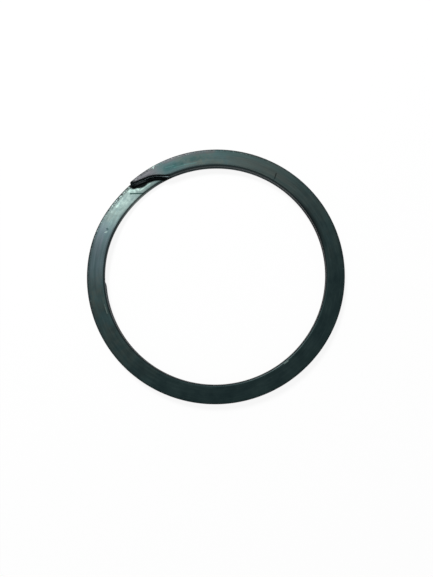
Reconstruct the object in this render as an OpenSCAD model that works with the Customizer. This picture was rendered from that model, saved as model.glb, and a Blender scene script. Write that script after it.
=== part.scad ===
// Spiral retaining ring for a shaft: flat spring wire coiled on edge into two close turns.
// It is one piece. The wire runs round the upper turn, steps down through the crossover and
// runs on round the lower turn. Both ends are cut to a finger with a removal notch beside it.
// The ring lies flat on z = 0, centred on the Z axis, with its crossover on the +Y side.

/* [Ring] */
// Inside diameter of the free ring
inner_d = 38.2; // [30:0.1:60]
// Radial width of the wire
wire_w = 3.15; // [2.8:0.05:4.5]
// Thickness of the wire, which is the height of one turn
wire_t = 0.77; // [0.65:0.01:1.2]
// Rounding along the wire's edges
edge_r = 0.3; // [0.05:0.01:0.32]
// Gap between the upper turn and the lower one
turn_gap = 0.03; // [0.01:0.01:0.1]

/* [Crossover] */
// Length of the stretch that steps down from the upper turn to the lower one
cross_len = 13; // [9:0.5:18]
// Number of flats that the step is bent in
cross_flats = 10; // [4:1:16]

/* [Cut ends] */
// Gap along the ring between a finger's nose and the end of the crossover
nose_gap = 0.1; // [0.05:0.05:1]
// Length of a finger, from its root to the middle of its nose
finger_len = 4; // [3:0.1:6]
// Width of a finger at its root
root_w = 1.4; // [1.1:0.05:1.8]
// Width of a finger just behind its nose
neck_w = 0.34; // [0.3:0.02:0.7]
// Radius of a finger's rounded nose
nose_r = 0.25; // [0.15:0.01:0.35]
// Radius of the bend in the cut at a finger's root
bend_r = 4; // [1:0.1:5]
// Slant of the cut from the finger's root to the ring's inside, against the wire
cut_slant = 35; // [30:1:60]
// Lean of the cut face from upright, which leaves a finger wider where it lies on the other turn
cut_lean = 36; // [0:1:45]

/* [Hidden] */
$fn = 180;
inner_r = inner_d / 2;
outer_r = inner_r + wire_w;
pitch = wire_t + turn_gap;
half_cross = cross_len / 2;
// How far a cutting shape runs past what it cuts
over = 2;
// The finger lies to the left of its root, which is on the +Y axis while the cut is drawn
nose_mid_r = outer_r - nose_r;
finger_angle = asin(finger_len / nose_mid_r);
root = [0, outer_r - root_w];
neck = (outer_r - neck_w) * [-sin(finger_angle), cos(finger_angle)];
neck_slant = atan2(neck.y - root.y, root.x - neck.x);
bend_angle = cut_slant - neck_slant;
bend_leg = bend_r * tan(bend_angle / 2);
bend_mid = root + bend_leg * [-cos(neck_slant), sin(neck_slant)]
    - bend_r * [sin(neck_slant), cos(neck_slant)];
// Angle round the ring from the crossover's middle to a finger's root
root_angle = asin((half_cross + nose_gap + nose_r) / nose_mid_r) + finger_angle;

// Section of the wire beside the Z axis, halfway up it on the X axis
module wire_section() {
    mid_r = inner_r + wire_w / 2;
    translate([mid_r, 0]) square([wire_w - 2 * edge_r, wire_t], center = true);
    translate([mid_r, 0]) square([wire_w, wire_t - 2 * edge_r], center = true);
    for (side = [-1, 1], level = [-1, 1])
        translate([mid_r + side * (wire_w / 2 - edge_r), level * (wire_t / 2 - edge_r)])
            circle(r = edge_r, $fn = 32);
}

// Wire bent round the full circle
module wire_hoop() {
    rotate_extrude() wire_section();
}

// Outline of what is cut away beside a finger, with the finger's root on the +Y axis
module notch_outline() {
    bore_y = inner_r - wire_w;
    left_x = -finger_len - nose_r - nose_gap - over;
    difference() {
        union() {
            polygon([
                root + bend_leg * [cos(cut_slant), -sin(cut_slant)],
                [(root.y - bore_y) / tan(cut_slant), bore_y],
                [left_x, bore_y],
                [left_x, outer_r + over],
                (outer_r + over) * [-sin(finger_angle), cos(finger_angle)],
                neck,
                root + bend_leg * [-cos(neck_slant), sin(neck_slant)]
            ]);
            translate(bend_mid) circle(r = bend_r);
        }
        translate(nose_mid_r * [-sin(finger_angle), cos(finger_angle)])
            circle(r = nose_r, $fn = 32);
    }
}

// One turn, open over the crossover and ending in a finger to the right of it
module turn() {
    lean = tan(cut_lean);
    difference() {
        wire_hoop();
        translate([-half_cross, 0, -over]) cube([cross_len, outer_r + over, 2 * over]);
        // the notch has its drawn outline at the turn's top face and leans inwards below it
        rotate(-root_angle)
            multmatrix([[1, 0, 0, 0], [0, 1, lean, -lean * wire_t / 2], [0, 0, 1, 0], [0, 0, 0, 1]])
                translate([0, 0, -over]) linear_extrude(2 * over) notch_outline();
    }
}

// Height of the wire's middle in the crossover, from the upper turn's to the lower one's
function step_z(x) = pitch / 2 * cos(90 * (1 + x / half_cross));

// Stretch of wire that steps down from the upper turn to the lower one, left to right
module crossover() {
    flat_len = cross_len / cross_flats;
    for (i = [0 : cross_flats - 1]) {
        x = i * flat_len - half_cross;
        slope = (step_z(x + flat_len) - step_z(x)) / flat_len;
        multmatrix([[1, 0, 0, 0], [0, 1, 0, 0], [slope, 0, 1, step_z(x) - slope * x], [0, 0, 0, 1]])
            intersection() {
                wire_hoop();
                translate([x, 0, -over]) cube([flat_len, outer_r + over, 2 * over]);
            }
    }
}

// The whole ring, which is the same either way up
module spiral_ring() {
    color([0.22, 0.29, 0.3]) translate([0, 0, (pitch + wire_t) / 2]) {
        crossover();
        for (flip = [0, 180]) rotate([0, flip, 0]) translate([0, 0, pitch / 2]) turn();
    }
}

spiral_ring();
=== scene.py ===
from math import acos, asin, atan2, ceil, cos, degrees, hypot, pi, radians, sin, sqrt, tan

import bmesh
import bpy
from mathutils import Matrix, Vector


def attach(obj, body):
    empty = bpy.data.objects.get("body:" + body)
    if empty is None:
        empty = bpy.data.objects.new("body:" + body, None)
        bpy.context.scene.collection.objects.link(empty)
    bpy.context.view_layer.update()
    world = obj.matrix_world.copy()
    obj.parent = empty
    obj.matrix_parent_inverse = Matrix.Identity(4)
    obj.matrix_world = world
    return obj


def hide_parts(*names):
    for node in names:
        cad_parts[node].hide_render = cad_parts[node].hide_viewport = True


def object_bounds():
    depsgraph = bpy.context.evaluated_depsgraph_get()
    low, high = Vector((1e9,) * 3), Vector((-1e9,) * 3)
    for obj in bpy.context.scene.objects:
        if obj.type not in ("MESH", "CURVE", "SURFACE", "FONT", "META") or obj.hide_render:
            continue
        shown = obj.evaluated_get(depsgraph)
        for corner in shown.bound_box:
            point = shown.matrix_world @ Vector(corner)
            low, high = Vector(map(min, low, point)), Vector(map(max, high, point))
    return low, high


# Spiral retaining ring of blackened spring steel, lying on a white table.
# Lengths are in metres. +Z is up, and the crossover of the two turns is on the +Y side.
# Directions round the ring are in degrees from +X towards +Y.

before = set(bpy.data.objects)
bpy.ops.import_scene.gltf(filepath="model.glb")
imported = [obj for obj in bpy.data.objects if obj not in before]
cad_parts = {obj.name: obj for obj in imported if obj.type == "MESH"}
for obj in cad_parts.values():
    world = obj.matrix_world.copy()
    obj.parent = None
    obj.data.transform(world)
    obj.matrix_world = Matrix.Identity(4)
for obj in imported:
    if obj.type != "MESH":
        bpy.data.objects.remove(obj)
cadLow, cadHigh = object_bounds()
mm = 0.001

# How the ring was photographed: turned on the table, from nearly overhead and close by
view = {
    "pictureUp": 29.4,  # direction on the table that points up in the picture
    "towards": 223.4,  # direction that the camera stands off to
    "tilt": 10,  # off straight down
    "distance": 78 * mm,
    "focal": 449,  # in pixels of the picture
    "width": 433,
    "height": 577,
    "ringAt": (214.6, 272.6),  # where the ring's middle is in the picture
    "filmWidth": 36,
    "nearest": 1 * mm,
}


def direction(azimuth, fromUp):
    flat = sin(radians(fromUp))
    return Vector((cos(radians(azimuth)) * flat, sin(radians(azimuth)) * flat, cos(radians(fromUp))))


def link(thing):
    bpy.context.scene.collection.objects.link(thing)
    return thing


def placeCamera():
    target = Vector((0, 0, (cadLow.z + cadHigh.z) / 2))
    back = direction(view["towards"], view["tilt"])
    right = direction(view["pictureUp"], 90).cross(back).normalized()
    up = back.cross(right)
    # the ring's middle is a little off the picture's middle
    across = atan2(view["ringAt"][0] - view["width"] / 2, view["focal"])
    down = atan2(view["ringAt"][1] - view["height"] / 2, view["focal"])
    turned = Matrix.Rotation(across, 3, up) @ Matrix.Rotation(down, 3, right)
    axes = turned @ Matrix((right, up, back)).transposed()
    data = bpy.data.cameras.new("camera")
    data.sensor_width = view["filmWidth"]
    data.lens = view["focal"] / max(view["width"], view["height"]) * view["filmWidth"]
    data.clip_start = view["nearest"]
    camera = link(bpy.data.objects.new("camera", data))
    camera.matrix_world = Matrix.Translation(target + back * view["distance"]) @ axes.to_4x4()
    bpy.context.scene.camera = camera


placeCamera()
print("camera placed")

# The coiled wire. Half of it is made, from the crossover's middle round the upper turn
# to the cut end, and the other half is the same turned over.
coil = {
    "outerR": (cadHigh.x - cadLow.x) / 2,
    "width": 3.15 * mm,
    "turnGap": 0.03 * mm,  # between the upper turn and the lower one
    "edgeR": 0.3 * mm,  # rounding of the rolled edges
    "crossLen": 13 * mm,
    "faceRows": 12,  # faces across the wire
    "edgeRows": 6,  # faces round each edge
    "step": 1.0,  # degrees round the ring for each face
    "roundShare": 0.45,  # most of the width that one rounded edge may take
    "crease": radians(35),  # sharper bends than this keep a hard edge
    "weld": 0.001 * mm,
    # the finger at each cut end, and its cut
    "noseGap": 0.1 * mm,  # from the nose to the end of the crossover
    "fingerLen": 4 * mm,
    "rootW": 1.4 * mm,
    "neckW": 0.34 * mm,
    "noseR": 0.25 * mm,
    "cutSlant": radians(35),  # from the root to the inside, against the wire
    "cutLean": radians(36),  # of the cut face from upright
    "rootBend": 0.5 * mm,  # how softly the cut bends at the root
    "noseBend": 0.06 * mm,  # and behind the nose
    "noseSwell": 0.2 * mm,  # growth of the nose's radius down to its foot
    "cutEdgeR": 0.06 * mm,  # rounding that the shears leave along the cut
    "cutFade": 0.5 * mm,  # over which the rolled edge gives way to the cut
    "cutStep": 0.2,  # degrees for each face along the cut
    "footStep": 0.3,  # and where the other turn's cut lies above
    "footMargin": (0.05, 0.1),  # radians to either side of it
    "noseTurns": (-90, 86, 8),  # degrees round the nose: from, to and step
    "pastNose": 0.05,  # radians beyond the nose, where the wire starts again at nothing
    "shadeSpread": 0.35 * mm,  # how far the painted shade at the foot of the cut spreads
    "shadeSpreadAt": 1.1 * mm,  # back from the nose
    "shadeSpreadReach": 1.2 * mm,
    "farOff": 9,  # mm, for points that aren't near the foot of a cut
}
innerR = coil["outerR"] - coil["width"]
total = cadHigh.z - cadLow.z
thick = (total - coil["turnGap"]) / 2
pitch = thick + coil["turnGap"]
halfCross = coil["crossLen"] / 2
noseMidR = coil["outerR"] - coil["noseR"]
rootR = coil["outerR"] - coil["rootW"]
neckR = coil["outerR"] - coil["neckW"]
# Angles along the wire, from the crossover's middle
fingerAngle = asin(coil["fingerLen"] / noseMidR)
noseAngle = 2 * pi - asin((halfCross + coil["noseGap"] + coil["noseR"]) / noseMidR)
rootAngle = noseAngle - fingerAngle
cornerAngle = rootAngle + acos(rootR / innerR * cos(coil["cutSlant"])) - coil["cutSlant"]
wireEnd = noseAngle * (innerR + coil["width"] / 2) / mm
neckRise = (neckR * cos(fingerAngle) - rootR) / (neckR * sin(fingerAngle))


def softMin(a, b, blend):
    near = max(blend - abs(a - b), 0) / blend
    return min(a, b) - near * near * blend / 4


# Inner and outer radius of the wire at an angle along it, so far below the turn's top face
def wireLimits(angle, below):
    if angle < cornerAngle:
        return innerR, coil["outerR"]
    past = angle - rootAngle
    neck = rootR / (cos(past) - sin(past) * neckRise)
    slant = rootR / (cos(past) - sin(past) * tan(coil["cutSlant"]))
    inwards = below * tan(coil["cutLean"])
    low = softMin(neck, slant, coil["rootBend"]) - inwards
    high = coil["outerR"]
    roundR = coil["noseR"] + coil["noseSwell"] * below / thick
    along = noseMidR * sin(angle - noseAngle) - coil["noseR"] + roundR
    if along > -roundR:
        middle = noseMidR * cos(angle - noseAngle) - coil["noseR"] + roundR - inwards
        half = sqrt(max(roundR ** 2 - along ** 2, 0))
        if along < 0:
            low = softMin(low, middle - half, coil["noseBend"])
        else:
            low = middle - half
            high = min(high, middle + half)
    return max(low, innerR), high


# Angles along the wire at which it gets a row of points
def stationAngles():
    noseStart = noseAngle - coil["noseR"] / noseMidR
    footStart = 2 * pi - noseAngle - coil["footMargin"][0]
    footEnd = 2 * pi - rootAngle + coil["footMargin"][1]
    stretches = (
        (0, footStart, coil["step"]),
        (footStart, footEnd, coil["footStep"]),
        (footEnd, cornerAngle, coil["step"]),
        (cornerAngle, noseStart, coil["cutStep"]),
    )
    angles = []
    for start, end, step in stretches:
        count = ceil(degrees(end - start) / step)
        angles += [start + (end - start) * i / count for i in range(count)]
    for turn in range(*coil["noseTurns"]):
        angles.append(noseAngle + asin(coil["noseR"] * sin(radians(turn)) / noseMidR))
    return angles


# Outline of the wire's section, standing on the +Y axis
def sectionLoop(bm):
    halfT = thick / 2
    corners = [bm.verts.new((0, y, z)) for y, z in (
        (innerR, -halfT), (coil["outerR"], -halfT), (coil["outerR"], halfT), (innerR, halfT))]
    sides = [bm.edges.new((corners[i], corners[i - 1])) for i in range(4)]
    bmesh.ops.bevel(bm, geom=corners + sides, offset=coil["edgeR"], offset_type="OFFSET",
                    segments=coil["edgeRows"], profile=0.5, affect="VERTICES", material=-1)
    long = [e for e in bm.edges if e.calc_length() > coil["width"] / 2]
    bmesh.ops.subdivide_edges(bm, edges=long, cuts=coil["faceRows"] - 1)
    return bm.verts[:] + bm.edges[:]


# Distance from a place under the other turn's finger to the foot of its cut, and less than nothing where
# the finger covers it.
# The painted shade at the foot of the cut is laid by it, widened back from the nose.
def footDistance(x, y):
    angle = (atan2(y, -x) - pi / 2) % (2 * pi)
    if angle < cornerAngle:
        return innerR
    footR = coil["noseR"] + coil["noseSwell"]
    along = noseMidR * sin(angle - noseAngle) - coil["noseR"] + footR
    middle = noseMidR - coil["noseR"] + footR - thick * tan(coil["cutLean"])
    fromNose = hypot(along, hypot(x, y) - middle) - footR
    if along > 0:
        return fromNose
    # the painted shade at the foot widens back from the nose
    offSpread = ((noseAngle - angle) * noseMidR - coil["shadeSpreadAt"]) / coil["shadeSpreadReach"]
    shadeSpread = coil["shadeSpread"] * max(1 - offSpread ** 2, 0)
    return min(fromNose, wireLimits(angle, thick)[0] - hypot(x, y)) - shadeSpread


# Takes the spun wire in at its cut end and lifts it from the crossover to its turn
def shapeWire(bm):
    alongKey = bm.verts.layers.float.new("along")
    cutKey = bm.verts.layers.float.new("cut")
    footKey = bm.verts.layers.float.new("fromCut")
    halfT, edgeR = thick / 2, coil["edgeR"]
    roundedTo = edgeR * 0.999  # a hair less, so that the face's own points aren't taken in
    for v in bm.verts:
        angle = (atan2(v.co.y, v.co.x) - pi / 2) % (2 * pi)
        angle = 0 if angle > noseAngle + coil["pastNose"] else angle
        radius = hypot(v.co.x, v.co.y)
        low, high = wireLimits(angle, halfT - v.co.z)
        room = (high - low) * coil["roundShare"]
        fade = min(max((low - innerR) / coil["cutFade"], 0), 1)
        lowEdge = min(edgeR + (coil["cutEdgeR"] - edgeR) * fade, room)
        highEdge = min(edgeR, room)
        fromLow, fromHigh = radius - innerR, coil["outerR"] - radius
        fromFace = halfT - abs(v.co.z)
        if fromLow < roundedTo:
            newR = low + fromLow * lowEdge / edgeR
            fromFace *= lowEdge / edgeR
        elif fromHigh < roundedTo:
            newR = high - fromHigh * highEdge / edgeR
            fromFace *= highEdge / edgeR
        else:
            share = (fromLow - edgeR) / (coil["width"] - 2 * edgeR)
            newR = low + lowEdge + share * (high - highEdge - low - lowEdge)
        v[alongKey] = angle * (innerR + coil["width"] / 2)
        atNose = noseMidR * sin(angle - noseAngle) > 0 and angle > cornerAngle
        v[cutKey] = 1 if (fromLow < edgeR / 2 and fade > 0) or atNose else 0
        v.co.x *= newR / radius
        v.co.y *= newR / radius
        # distance to the foot of the other turn's cut, for the painted shade there
        underCut = v.co.z < 0 and angle < pi / 2
        v[footKey] = footDistance(v.co.x, v.co.y) / mm if underCut else coil["farOff"]
        v.co.z = (halfT - fromFace) * (1 if v.co.z > 0 else -1)
        rise = min(-v.co.x / halfCross, 1) if angle < pi / 2 else 1
        v.co.z += pitch / 2 * sin(rise * pi / 2)
    return alongKey, cutKey


def buildRing():
    bm = bmesh.new()
    row = sectionLoop(bm)
    angles = stationAngles()
    for start, end in zip(angles, angles[1:]):
        row = bmesh.ops.spin(bm, geom=row, cent=(0, 0, 0), axis=(0, 0, 1), angle=end - start,
                             steps=1, use_merge=False)["geom_last"]
    alongKey, cutKey = shapeWire(bm)
    lastEdges = [part for part in row if isinstance(part, bmesh.types.BMEdge)]
    bmesh.ops.holes_fill(bm, edges=lastEdges, sides=0)
    copied = bmesh.ops.duplicate(bm, geom=bm.verts[:] + bm.edges[:] + bm.faces[:])["geom"]
    lower = [part for part in copied if isinstance(part, bmesh.types.BMVert)]
    bmesh.ops.rotate(bm, verts=lower, cent=(0, 0, 0), matrix=Matrix.Rotation(pi, 3, "Y"))
    for v in lower:
        v[alongKey] *= -1
    bmesh.ops.remove_doubles(bm, verts=bm.verts[:], dist=coil["weld"])
    bmesh.ops.translate(bm, verts=bm.verts[:], vec=(0, 0, total / 2))
    bmesh.ops.recalc_face_normals(bm, faces=bm.faces[:])
    uv = bm.loops.layers.uv.new("wire")
    for face in bm.faces:
        face.smooth = True
        face.material_index = 1 if min(v[cutKey] for v in face.verts) > 0.5 else 0
        for corner in face.loops:
            v = corner.vert
            corner[uv].uv = (v[alongKey] / mm, (hypot(v.co.x, v.co.y) + v.co.z) / mm)
    for edge in bm.edges:
        if len(edge.link_faces) == 2 and edge.calc_face_angle() > coil["crease"]:
            edge.smooth = False
    print("ring:", len(bm.verts), "points,", len(bm.faces), "faces, open edges",
          sum(not e.is_manifold for e in bm.edges))
    mesh = bpy.data.meshes.new("coiledRing")
    bm.to_mesh(mesh)
    bm.free()
    return link(bpy.data.objects.new("coiledRing", mesh))


ring = buildRing()
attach(ring, "root")
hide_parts("spiral_ring")


# Short way to add a node: its kind, its inputs by name or number, and its settings
def nodeTools(tree):
    def add(kind, inputs=None, **settings):
        node = tree.nodes.new("ShaderNode" + kind)
        for name, value in settings.items():
            setattr(node, name, value)
        for name, value in (inputs or {}).items():
            socket = node.inputs[name]
            if isinstance(value, bpy.types.NodeSocket):
                tree.links.new(value, socket)
            else:
                socket.default_value = value
        return node
    return add


def newMaterial(name):
    material = bpy.data.materials.new(name)
    material.use_nodes = True
    material.node_tree.nodes.clear()
    return material, nodeTools(material.node_tree)


def compute(add, kind, first, second=0.0):
    return add("Math", {0: first, 1: second}, operation=kind).outputs[0]


def product(add, first, *others):
    for other in others:
        first = compute(add, "MULTIPLY", first, other)
    return first


def mixColour(add, share, first, second):
    return add("Mix", {0: share, 6: first, 7: second}, data_type="RGBA").outputs[2]


def ramp(add, value, low, high, toLow=0.0, toHigh=1.0):
    node = add("MapRange", {"Value": value, "From Min": low, "From Max": high,
                            "To Min": toLow, "To Max": toHigh})
    return node.outputs["Result"]


# Mask that falls to nothing at the outer reach from a place along a value
def around(add, value, middle, inner, outer):
    off = compute(add, "ABSOLUTE", compute(add, "SUBTRACT", value, middle))
    return ramp(add, off, outer, inner)


tones = {
    "dark": (0.0085, 0.0165, 0.0175, 1),  # full black oxide
    "light": (0.0145, 0.026, 0.026, 1),  # where it is mottled
    "thin": (0.023, 0.043, 0.045, 1),  # painted light: lighter on the side toward the lamp and the crossover
    "olive": (0.036, 0.044, 0.039, 1),  # mottling of the thin oxide
    # a tint of the mottling, and painted shade where the cool patch dims the lamp's highlight
    "cool": (0.02, 0.034, 0.035, 1),
    "tealBand": (0.021, 0.04, 0.04, 1),  # drawn out along the wire
    "brown": (0.029, 0.036, 0.034, 1),
    "slate": (0.041, 0.06, 0.067, 1),
    "blue": (0.041, 0.05, 0.058, 1),
    "worn": (0.055, 0.076, 0.074, 1),  # rubbed over the crossover, and painted highlight where the lamp's sheen falls there
    "wornLight": (0.088, 0.116, 0.109, 1),
    "streak": (0.12, 0.16, 0.145, 1),  # rolled in along the wire
    "fingertip": (0.031, 0.03, 0.033, 1),  # towards the wire's end
    "tipLight": (0.05, 0.051, 0.055, 1),
    "tipSpeck": (0.085, 0.088, 0.093, 1),
    "teal": (0.007, 0.023, 0.023, 1),
    "tealLight": (0.03, 0.066, 0.062, 1),
    "greyWarm": (0.032, 0.033, 0.035, 1),
    # painted highlight colour of the shine and glints, and of the sparkle on chips
    "bright": (0.19, 0.26, 0.235, 1),
    "bendDark": (0.006, 0.016, 0.014, 1),
    "darkEdgeBand": (0.017, 0.025, 0.026, 1),  # darker bands along the edges: painted shade along the inner edge, and darker along the outer edge
    "rim": (0.0095, 0.016, 0.0165, 1),  # along the inner edge
    # painted highlight on the inner edge's shoulder, on the side away from the lamp, where it tilts toward
    # it
    "rimHighlight": (0.019, 0.026, 0.026, 1),
    "edge": (0.0045, 0.007, 0.0075, 1),  # the rolled edges and walls, painted darker than the faces as shade
    # painted light on the edges toward the lamp
    "edgeLitSide": (0.036, 0.047, 0.051, 1),
    # edges over the crossover: rubbed bright, and painted highlight
    "edgeWearAndSheen": (0.17, 0.2, 0.19, 1),
    "flake": (0.018, 0.021, 0.02, 1),  # where the outer edge lost its bright skin
    "speck": (0.1, 0.13, 0.12, 1),  # chipped along the outer edge
    "grime": (0.0015, 0.002, 0.002, 1),  # near black: painted shade at the foot of a cut and round the nose tip, and the dark of the nick
    "cut": (0.004, 0.0045, 0.005, 1),
    "burnish": (0.3, 0.4, 0.42, 1),  # the cut's streak that the shears rubbed
    "litNoseFace": (0.22, 0.25, 0.27, 1),  # painted light on the foot of the cut by the nose
}
# Noises in the metal, and how often they change along and across the wire where the rolls drew them out
noises = {
    "blotch": {"Scale": 420, "Detail": 4, "Roughness": 0.6},
    "cloud": {"Scale": 160, "Detail": 2},
    "patch": {"Scale": 1100, "Detail": 3},
    "mottle": {"Scale": 330, "Detail": 3, "Roughness": 0.7},
    "grain": {"Scale": 1, "Detail": 5, "Roughness": 0.65},
}
grains = {
    "fine": (0.3, 5),
    "broad": (0.08, 1.4),
    "bands": (0.06, 0.8),
    "chips": (3.6, 2.8),
    "torn": (6, 9),
}
# Where a layer lies: its middle, and how far to either side it is full and gone
aroundRing = {  # directions
    # painted light: the side toward the lamp is lighter
    "thin": (64, 45, 130),
    # painted highlight on the inner edge away from the lamp
    "rimHighlight": (-117, 8, 32),
    "outerBand": (115, 15, 42),
    # painted shade along the inner edge
    "innerShadeBand": (66, 36, 52),
    "blackBand": (-34, 8, 20),
    "brown": (5, 10, 45),
    # painted shade that dims the lamp's highlight there
    "cool": (50, 4, 14),
    "slate": (112, 5, 18),
    "blue": (101, 3, 13),
}
alongWire = {  # mm from the crossover's middle
    # rubbed wear and painted highlight over the crossover
    "worn": (-5.0, 0.8, 8.4),
    "chewed": (-4.2, 2.2, 5.0),
    "worked": (-9, 5, 12),
    "tip": (wireEnd, 3.4, 5.8),
    "nose": (wireEnd + coil["noseR"] / mm, 0.4, 0.95),
    "litNoseFace": (wireEnd - 1.2, 0.5, 1.25),
}
offMiddle = {  # up or down from the ring's middle
    "burnish": (pitch / 2 + thick * 0.12, thick * 0.05, thick * 0.14),
    "litNoseFace": (thick * 0.3, thick * 0.08, thick * 0.25),
}
speckRow = (0.28, 0.05, 0.2)  # mm in from the outer edge
# What a noise or a measure becomes as a mask: from, to, and the shares there if not 0 and 1
spans = {
    "mottledDark": (0.35, 0.68),
    "mottledLitSide": (0.3, 0.7, 0.6, 1),
    "olive": (0.42, 0.6),
    "coolBlotch": (0.5, 0.66, 0, 0.45),
    "tealBand": (0.5, 0.6, 0, 0.7),
    "tint": (0.35, 0.65, 0.3, 0.9),
    "wornLight": (0.35, 0.65),
    "streak": (0.5, 0.72, 0, 0.6),
    "streakInWearAndSheen": (0, 1, 0.08, 1),
    "broadStreak": (0.45, 0.65, 0, 0.3),
    "tipStreak": (0.4, 0.65),
    "roughness": (0.3, 0.7, 0.35, 0.48),
    "tornDark": (0.4, 0.7, 0, 0.5),
    "tornBurnish": (0.3, 0.6, 0.3, 1),
    "brokenMark": (0.42, 0.56),
    "lineEdge": (1, 0.4),  # of a mark's half width
    # of how flat a place lies, where 1 is level
    "edge": (0.85, 0.5),
    "rimFromFace": (0.995, 0.96),
    "rimFromEdge": (0.75, 0.88),
    "upwards": (0.15, 0.6),
    # mm in from the outer edge, and from the inner one
    "innerHalf": (coil["width"] / mm * 0.6, coil["width"] / mm * 0.7),
    "chewed": (0.85, 0.5),
    "flaked": (0.75, 0.4),
    "outerBand": (0.75, 0.3, 0, 0.8),
    "footShadeAtEdge": (0.05, 0.25, 0.3, 1),
    "innerShadeBand": (0.65, 0.3, 0, 0.8),
    "blackBand": (0.75, 0.35, 0, 0.75),
    # of the chips
    "chewedChips": (0.53, 0.47, 0.1, 0.95),
    "darkFlakes": (0.52, 0.46, 0, 0.8),
    "lightFlakes": (0.58, 0.64, 0, 0.6),
    "lightSpecks": (0.58, 0.68),
    "darkSpecks": (0.48, 0.4),
    # of another mask, and the rest
    "bandInWearAndSheen": (1, 0, 0.2, 1),
    "speckLitSide": (0, 1, 0.15, 1),
    "grime": (0.5, 0.3),  # mm out from the foot of a cut, over which the painted shade fades
    "upperHalf": (total * 0.4, total * 0.45),
}
finish = {
    "cutRoughness": 0.45,
    "bumpDepth": 0.01 * mm,
    "faceBump": 0.25,
    "cutBump": 0.3,
}
# Marks on the upper side: where they start and end, as direction and radius in mm. The shine, glints and
# glint streaks are painted highlight, and the chips carry painted sparkle.
marks = {
    "bendLine": {"start": (75.7, 20.9), "end": (70.8, 19.3),
                 "half": 0.17, "tone": "bendDark", "strength": 1, "broken": 0},
    # painted highlight by the nose
    "noseShine": {"start": (75.4, 21.8), "end": (72.0, 20.6),
                  "half": 0.6, "tone": "bright", "strength": 0.6, "broken": 0.9},
    "noseGlintStreak": {"start": (71.0, 20.1), "end": (64.9, 20.0),
                   "half": 0.16, "tone": "bright", "strength": 0.4, "broken": 0.3},
    "flakeA": {"start": (76.5, 22.0), "end": (73.7, 21.8),
               "half": 0.3, "tone": "flake", "strength": 0.85, "broken": 0.5},
    "flakeB": {"start": (80.4, 22.1), "end": (77.3, 22.1),
               "half": 0.22, "tone": "flake", "strength": 0.8, "broken": 0.6},
    "tipStreakA": {"start": (69.6, 21.8), "end": (61.7, 21.5),
                   "half": 0.13, "tone": "tipLight", "strength": 0.7, "broken": 0.6},
    "tipStreakB": {"start": (66.8, 21.6), "end": (59.4, 20.8),
                   "half": 0.12, "tone": "dark", "strength": 0.35, "broken": 0.5},
    "greyPatchA": {"start": (53.5, 22.1), "end": (43.5, 22.3),
                   "half": 0.8, "tone": "greyWarm", "strength": 0.9, "broken": 0.35},
    "greyPatchB": {"start": (43.5, 22.3), "end": (30.5, 22.1),
                   "half": 0.8, "tone": "greyWarm", "strength": 0.9, "broken": 0.35},
    "tealPatchA": {"start": (54.2, 20.6), "end": (46.3, 20.5),
                   "half": 0.7, "tone": "teal", "strength": 0.7, "broken": 0.35},
    "tealPatchB": {"start": (45.0, 20.9), "end": (33.5, 21.0),
                   "half": 0.65, "tone": "teal", "strength": 0.5, "broken": 0.6},
    "tealStreakA": {"start": (54.1, 20.8), "end": (49.9, 20.6),
                    "half": 0.12, "tone": "tealLight", "strength": 0.45, "broken": 0.3},
    # painted highlight along the inner edge
    "innerEdgeGlintA": {"start": (50.3, 20.2), "end": (44.5, 20.1),
                    "half": 0.12, "tone": "tealLight", "strength": 0.4, "broken": 0.3},
    "innerEdgeGlintB": {"start": (44.5, 20.1), "end": (38.8, 20.0),
                    "half": 0.15, "tone": "tealLight", "strength": 0.4, "broken": 0.5},
    # chipped outer edge, with painted sparkle
    "chipAndGlint": {"start": (59.1, 22.3), "end": (59.5, 21.7),
             "half": 0.12, "tone": "bright", "strength": 0.6, "broken": 0.3},
    "chipRowAndGlint": {"start": (61.1, 22.1), "end": (57.0, 22.2),
                "half": 0.22, "tone": "bright", "strength": 0.6, "broken": 0.8},
    "nick": {"start": (-2.5, 20.6), "end": (-3.2, 19.7),
             "half": 0.13, "tone": "grime", "strength": 0.75, "broken": 0},
    "nickSmear": {"start": (-3.2, 19.7), "end": (-3.0, 19.2),
                  "half": 0.22, "tone": "dark", "strength": 0.4, "broken": 0},
    "pit": {"start": (97.0, 20.4), "end": (96.8, 20.5),
            "half": 0.24, "tone": "dark", "strength": 0.8, "broken": 0},
    "scuff": {"start": (99.0, 20.6), "end": (98.3, 20.3),
              "half": 0.12, "tone": "streak", "strength": 0.5, "broken": 0},
    "scratch": {"start": (135.8, 19.7), "end": (140.4, 19.7),
                "half": 0.12, "tone": "streak", "strength": 0.35, "broken": 0.6},
    # painted highlight on the inner edge away from the lamp; the gleam too
    "rimGlint": {"start": (-113.8, 19.4), "end": (-111.6, 19.42),
                 "half": 0.16, "tone": "bright", "strength": 1, "broken": 0.7},
    "rimGleam": {"start": (-117.5, 19.4), "end": (-107.5, 19.38),
                 "half": 0.2, "tone": "thin", "strength": 0.6, "broken": 0.8},
    # painted highlight over the crossover
    "glintA": {"start": (88.3, 21.3), "end": (84.6, 21.4),
               "half": 0.3, "tone": "wornLight", "strength": 0.6, "broken": 0.6},
    "glintB": {"start": (84.9, 21.1), "end": (82.8, 21.2),
               "half": 0.22, "tone": "bright", "strength": 0.22, "broken": 0.5},
    "glintC": {"start": (81.4, 21.3), "end": (76.7, 21.4),
               "half": 0.3, "tone": "wornLight", "strength": 0.5, "broken": 0.6},
}


def span(add, value, name):
    return ramp(add, value, *spans[name])


def placeNoise(add, place, name):
    return add("TexNoise", {"Vector": place, **noises[name]}).outputs["Fac"]


def placeGrain(add, group, uv, name):
    along, across = grains[name]
    inputs = {"Place": uv, "Along": along, "Across": across}
    return add("Group", inputs, node_tree=group).outputs[0]


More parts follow.
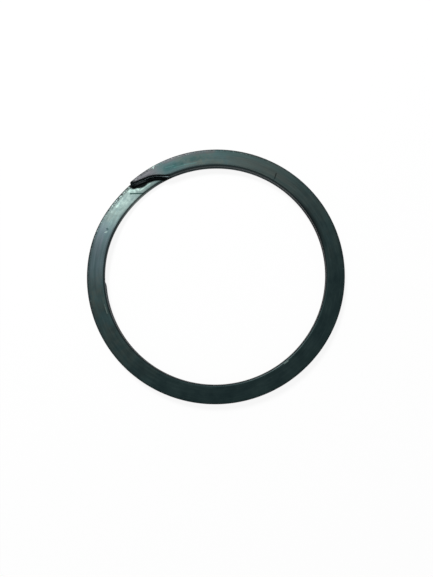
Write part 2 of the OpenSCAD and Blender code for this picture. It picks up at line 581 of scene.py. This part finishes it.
def newGroup(name, inputs, output):
    group = bpy.data.node_groups.new(name, "ShaderNodeTree")
    for socket, kind in inputs.items():
        group.interface.new_socket(socket, in_out="INPUT", socket_type="NodeSocket" + kind)
    group.interface.new_socket(output, in_out="OUTPUT", socket_type="NodeSocketFloat")
    return group, group.nodes.new("NodeGroupInput").outputs, nodeTools(group)


def closeGroup(group, result):
    group.links.new(result, group.nodes.new("NodeGroupOutput").inputs[0])
    return group


# Shader group: how much a point lies on a line between two places
def lineGroup():
    inputs = {"Point": "Vector", "Start": "Vector", "End": "Vector", "Half Width": "Float"}
    group, given, add = newGroup("lineMark", inputs, "Mask")
    line = add("VectorMath", {0: given["End"], 1: given["Start"]}, operation="SUBTRACT").outputs[0]
    away = add("VectorMath", {0: given["Point"], 1: given["Start"]}, operation="SUBTRACT").outputs[0]
    reach = add("VectorMath", {0: away, 1: line}, operation="DOT_PRODUCT").outputs["Value"]
    full = add("VectorMath", {0: line, 1: line}, operation="DOT_PRODUCT").outputs["Value"]
    share = add("Math", {0: reach, 1: full}, operation="DIVIDE", use_clamp=True).outputs[0]
    foot = add("VectorMath", {0: line, "Scale": share}, operation="SCALE").outputs[0]
    off = add("VectorMath", {0: away, 1: foot}, operation="DISTANCE").outputs["Value"]
    ratio = compute(add, "DIVIDE", off, given["Half Width"])
    return closeGroup(group, span(add, ratio, "lineEdge"))


# Shader group: grain that the rolls drew out along the wire
def grainGroup():
    inputs = {"Place": "Vector", "Along": "Float", "Across": "Float"}
    group, given, add = newGroup("rolledGrain", inputs, "Grain")
    drawn = add("CombineXYZ", {"X": given["Along"], "Y": given["Across"], "Z": given["Across"]}).outputs[0]
    place = add("VectorMath", {0: given["Place"], 1: drawn}, operation="MULTIPLY").outputs[0]
    return closeGroup(group, placeNoise(add, place, "grain"))


# The marks as layers, each a share and a tone
def markLayers(add, line, outwards, upper, patch):
    layers = []
    for mark in marks.values():
        ends = {socket: direction(mark[end][0], 90) * mark[end][1] * mm
                for socket, end in (("Start", "start"), ("End", "end"))}
        inputs = {"Point": outwards, "Half Width": mark["half"] * mm, **ends}
        mask = add("Group", inputs, node_tree=line).outputs[0]
        whole = ramp(add, patch, *spans["brokenMark"], 1 - mark["broken"], 1)
        layers.append((product(add, mask, upper, mark["strength"], whole), tones[mark["tone"]]))
    return layers


def finishSteel(add, tone, roughness, height, strength):
    bump = add("Bump", {"Strength": strength, "Distance": finish["bumpDepth"], "Height": height})
    shader = add("BsdfPrincipled", {"Base Color": tone, "Metallic": 1.0, "Roughness": roughness,
                                    "Normal": bump.outputs["Normal"]})
    add("OutputMaterial", {"Surface": shader.outputs["BSDF"]})


def rolledSteel(line, grain):
    material, add = newMaterial("rolledSteel")
    uv = add("UVMap", uv_map="wire").outputs["UV"]
    coords = add("TexCoord").outputs
    spot = add("SeparateXYZ", {"Vector": coords["Object"]}).outputs
    fine, broad, bands, chips = (placeGrain(add, grain, uv, name)
                                 for name in ("fine", "broad", "bands", "chips"))
    blotch, cloud, patch, mottle = (placeNoise(add, coords["Object"], name)
                                    for name in ("blotch", "cloud", "patch", "mottle"))

    # measures of a place: direction in degrees, mm along the wire and from its edges, and its slope
    azimuth = compute(add, "MULTIPLY", compute(add, "ARCTAN2", spot["Y"], spot["X"]), degrees(1))
    along = add("SeparateXYZ", {"Vector": uv}).outputs["X"]
    fromStart = compute(add, "ABSOLUTE", along)
    outwards = add("CombineXYZ", {"X": spot["X"], "Y": spot["Y"]}).outputs[0]
    radius = add("VectorMath", {0: outwards}, operation="LENGTH").outputs["Value"]
    fromOuter = compute(add, "SUBTRACT", coil["outerR"] / mm, compute(add, "DIVIDE", radius, mm))
    fromInner = compute(add, "SUBTRACT", coil["width"] / mm, fromOuter)
    upwards = add("SeparateXYZ", {"Vector": coords["Normal"]}).outputs["Z"]
    facing = compute(add, "ABSOLUTE", upwards)
    fromCut = add("Attribute", attribute_name="fromCut").outputs["Fac"]

    def towards(name):
        return around(add, azimuth, *aroundRing[name])

    # painted light: the side toward the lamp is lighter and mottled
    thin = product(add, towards("thin"), span(add, blotch, "mottledLitSide"))
    mottled = mixColour(add, span(add, mottle, "olive"), tones["olive"], tones["thin"])
    mottled = mixColour(add, span(add, patch, "coolBlotch"), mottled, tones["cool"])
    # the crossover rubbed lighter, and painted with the lamp's highlight
    rubbedAndSheen = around(add, along, *alongWire["worn"])
    worn = mixColour(add, span(add, patch, "wornLight"), tones["worn"], tones["wornLight"])
    # lighter streaks of the grain, mostly over the crossover: grain and painted highlight
    streak = product(add, span(add, fine, "streak"), span(add, rubbedAndSheen, "streakInWearAndSheen"))
    tip = around(add, fromStart, *alongWire["tip"])
    tipTone = mixColour(add, span(add, fine, "tipStreak"), tones["fingertip"], tones["tipLight"])
    layers = [(thin, mottled)]
    # tints round the ring; the cool one by the lamp is painted shade that dims its highlight
    for tint in ("brown", "cool", "slate", "blue"):
        layers.append((product(add, towards(tint), span(add, cloud, "tint")), tones[tint]))
    layers += [
        (product(add, thin, span(add, bands, "tealBand")), tones["tealBand"]),
        (rubbedAndSheen, worn),
        (streak, tones["streak"]),
        (span(add, broad, "broadStreak"), tones["dark"]),
        (tip, tipTone),
    ]
    layers += markLayers(add, line, outwards, span(add, spot["Z"], "upperHalf"), patch)

    # the rolled edges, and the bands and chips beside them; the edges and walls are painted darker as shade
    edgeTone = mixColour(add, thin, tones["edge"], tones["edgeLitSide"])
    edgeTone = mixColour(add, rubbedAndSheen, edgeTone, tones["edgeWearAndSheen"])
    # the inner edge's shoulder darker all round, with a painted highlight line away from the lamp
    rim = product(add, span(add, facing, "rimFromFace"), span(add, facing, "rimFromEdge"),
                  span(add, fromOuter, "innerHalf"))
    rimTone = mixColour(add, towards("rimHighlight"), tones["rim"], tones["rimHighlight"])
    chewed = product(add, around(add, along, *alongWire["chewed"]), span(add, fromOuter, "chewed"))
    worked = compute(add, "MAXIMUM", around(add, along, *alongWire["worked"]), tip)
    flaked = product(add, worked, span(add, upwards, "upwards"), span(add, fromOuter, "flaked"))
    flakeTone = mixColour(add, tip, tones["speck"], tones["tipSpeck"])
    outerBand = product(add, span(add, fromOuter, "outerBand"), towards("outerBand"))
    # painted shade along the inner edge; the outer band is darker along the outer edge
    innerShadeBand = product(add, span(add, fromInner, "innerShadeBand"), towards("innerShadeBand"))
    darkEdgeBand = product(add, compute(add, "MAXIMUM", outerBand, innerShadeBand), span(add, rubbedAndSheen, "bandInWearAndSheen"))
    black = product(add, span(add, fromInner, "blackBand"), towards("blackBand"))
    # light specks along the outer edge, stronger toward the lamp as painted light
    specks = product(add, around(add, fromOuter, *speckRow), span(add, thin, "speckLitSide"))
    nose = around(add, fromStart, *alongWire["nose"])
    # painted shade on the lower turn along the foot of the other turn's cut, weaker at the outer edge
    grime = product(add, span(add, fromCut, "grime"), span(add, fromOuter, "footShadeAtEdge"))
    layers += [
        (span(add, facing, "edge"), edgeTone),
        (rim, rimTone),
        (product(add, chewed, span(add, chips, "chewedChips")), tones["flake"]),
        (product(add, flaked, span(add, chips, "darkFlakes")), tones["flake"]),
        (product(add, flaked, span(add, chips, "lightFlakes")), flakeTone),
        (darkEdgeBand, tones["darkEdgeBand"]),
        (black, tones["edge"]),
        (product(add, specks, span(add, chips, "lightSpecks")), tones["speck"]),
        (product(add, specks, span(add, chips, "darkSpecks")), tones["edge"]),
        # the nose tip painted near black as shade
        (nose, tones["grime"]),
        (grime, tones["grime"]),
    ]
    tone = mixColour(add, span(add, blotch, "mottledDark"), tones["dark"], tones["light"])
    for share, layerTone in layers:
        tone = mixColour(add, share, tone, layerTone)
    finishSteel(add, tone, span(add, fine, "roughness"), fine, finish["faceBump"])
    return material


def cutSteel(grain):
    material, add = newMaterial("cutSteel")
    uv = add("UVMap", uv_map="wire").outputs["UV"]
    torn = placeGrain(add, grain, uv, "torn")
    fromStart = compute(add, "ABSOLUTE", add("SeparateXYZ", {"Vector": uv}).outputs["X"])
    height = add("SeparateXYZ", {"Vector": add("TexCoord").outputs["Object"]}).outputs["Z"]
    fromMiddle = compute(add, "ABSOLUTE", compute(add, "SUBTRACT", height, total / 2))
    burnished = product(add, around(add, fromMiddle, *offMiddle["burnish"]), span(add, torn, "tornBurnish"))
    # painted light on the cut face low by the nose
    nose = product(add, around(add, fromStart, *alongWire["litNoseFace"]),
                   around(add, fromMiddle, *offMiddle["litNoseFace"]))
    tone = mixColour(add, span(add, torn, "tornDark"), tones["cut"], tones["dark"])
    tone = mixColour(add, burnished, tone, tones["burnish"])
    tone = mixColour(add, nose, tone, tones["litNoseFace"])
    finishSteel(add, tone, finish["cutRoughness"], torn, finish["cutBump"])
    return material


grain = grainGroup()
ring.data.materials.append(rolledSteel(lineGroup(), grain))
ring.data.materials.append(cutSteel(grain))
print("steel set")

studio = {
    "keyTowards": 56.4,
    "keyFromUp": 40,
    "keyDistance": 0.45,
    "keySize": 0.12,
    "keyWatts": 2.1,
    "roomLight": 0.3,  # what the room sends to the table
    "hairGap": 0.005 * mm,  # between the ring and the table, so that no faces share a plane
    "white": (1, 1, 1, 1),
    "tableTone": (0.9, 0.9, 0.9, 1),
    "tableHalf": 1,
    "whiteShare": 0.9,  # how much of the table's colour the lamps don't change
}


# Mask of what the camera and the metal's reflections see
def seenWhite(add):
    path = add("LightPath").outputs
    return compute(add, "MAXIMUM", path["Is Camera Ray"], path["Is Glossy Ray"])


def lightRoom():
    lamp = bpy.data.lights.new("keyLamp", "AREA")
    lamp.shape = "SQUARE"
    lamp.size = studio["keySize"]
    lamp.energy = studio["keyWatts"]
    key = link(bpy.data.objects.new("keyLamp", lamp))
    back = direction(studio["keyTowards"], studio["keyFromUp"])
    key.location = back * studio["keyDistance"]
    key.rotation_euler = back.to_track_quat("Z", "Y").to_euler()
    world = bpy.data.worlds.new("room")
    world.use_nodes = True
    world.node_tree.nodes.clear()
    bpy.context.scene.world = world
    add = nodeTools(world.node_tree)
    strength = ramp(add, seenWhite(add), 0, 1, studio["roomLight"], 1)
    sky = add("Background", {"Color": studio["white"], "Strength": strength})
    add("OutputWorld", {"Surface": sky.outputs["Background"]})


def layTable():
    bm = bmesh.new()
    bmesh.ops.create_grid(bm, x_segments=1, y_segments=1, size=studio["tableHalf"])
    bmesh.ops.translate(bm, verts=bm.verts[:], vec=(0, 0, -studio["hairGap"]))
    mesh = bpy.data.meshes.new("table")
    bm.to_mesh(mesh)
    bm.free()
    table = link(bpy.data.objects.new("table", mesh))
    material, add = newMaterial("whiteTable")
    lit = add("BsdfDiffuse", {"Color": studio["tableTone"]}).outputs[0]
    white = add("Emission", {"Color": studio["white"], "Strength": 1}).outputs[0]
    share = compute(add, "MULTIPLY", seenWhite(add), studio["whiteShare"])
    both = add("MixShader", {0: share, 1: lit, 2: white}).outputs[0]
    # from beneath the table is clear, which leaves the ring's underside in sight
    beneath = add("NewGeometry").outputs["Backfacing"]
    clear = add("BsdfTransparent").outputs[0]
    shown = add("MixShader", {0: beneath, 1: both, 2: clear}).outputs[0]
    add("OutputMaterial", {"Surface": shown})
    mesh.materials.append(material)


lightRoom()
layTable()
print("room lit")

bpy.context.scene.view_settings.view_transform = "Standard"
